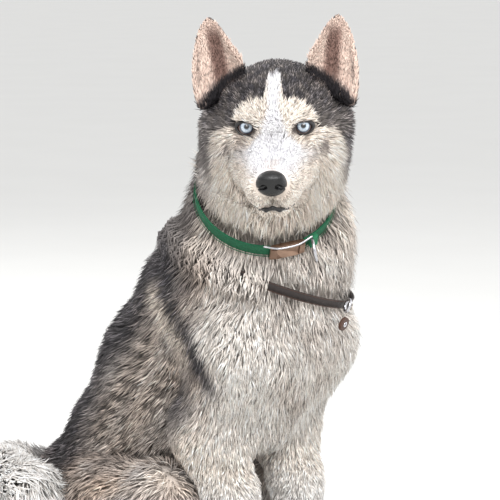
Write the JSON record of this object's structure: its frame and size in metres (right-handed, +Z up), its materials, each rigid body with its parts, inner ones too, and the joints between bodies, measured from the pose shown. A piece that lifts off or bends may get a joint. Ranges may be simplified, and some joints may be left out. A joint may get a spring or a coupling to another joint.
{
  "type": "siberian husky dog",
  "caption": "Life-size still model of a siberian husky sitting with its head turned, wearing a green collar and a thin slip collar.",
  "frame": {"origin": "on the floor, under the middle of the bounding box", "axes": "+Z up, the chest faces -Y, and the dog's left side is +X"},
  "size_m": [0.3714, 0.642, 0.8209],
  "materials": {
    "coat": "matte grey and white double coat",
    "leg_coat": "matte white short coat",
    "nose": "moist black leather of the nose",
    "eye": "glossy pale blue iris with a black pupil",
    "claw": "dark horn",
    "webbing": "green woven webbing",
    "buckle_metal": "satin rose brass",
    "ring_steel": "polished steel",
    "strap_leather": "dark brown leather",
    "tab_leather": "brown leather"
  },
  "bodies": {
    "root": {"head": "coat", "neck": "coat", "torso": "coat", "tail": "coat", "nose": "nose", "collar": "webbing", "buckle": "buckle_metal", "d_ring": "ring_steel", "ring_loop": "webbing", "slip_strap": "strap_leather", "slip_ring": "ring_steel", "slip_tab": "tab_leather", "slip_eyelet": "ring_steel", "eye_left": "eye", "ear_left": "coat", "foreleg_left": "leg_coat", "forefoot_left": "leg_coat", "hindleg_left": "coat", "hindfoot_left": "leg_coat", "foreclaw_left_1": "claw", "hindclaw_left_1": "claw", "foreclaw_left_2": "claw", "hindclaw_left_2": "claw", "foreclaw_left_3": "claw", "hindclaw_left_3": "claw", "foreclaw_left_4": "claw", "hindclaw_left_4": "claw", "eye_right": "eye", "ear_right": "coat", "foreleg_right": "leg_coat", "forefoot_right": "leg_coat", "hindleg_right": "coat", "hindfoot_right": "leg_coat", "foreclaw_right_1": "claw", "hindclaw_right_1": "claw", "foreclaw_right_2": "claw", "hindclaw_right_2": "claw", "foreclaw_right_3": "claw", "hindclaw_right_3": "claw", "foreclaw_right_4": "claw", "hindclaw_right_4": "claw"}
  },
  "joints": []
}
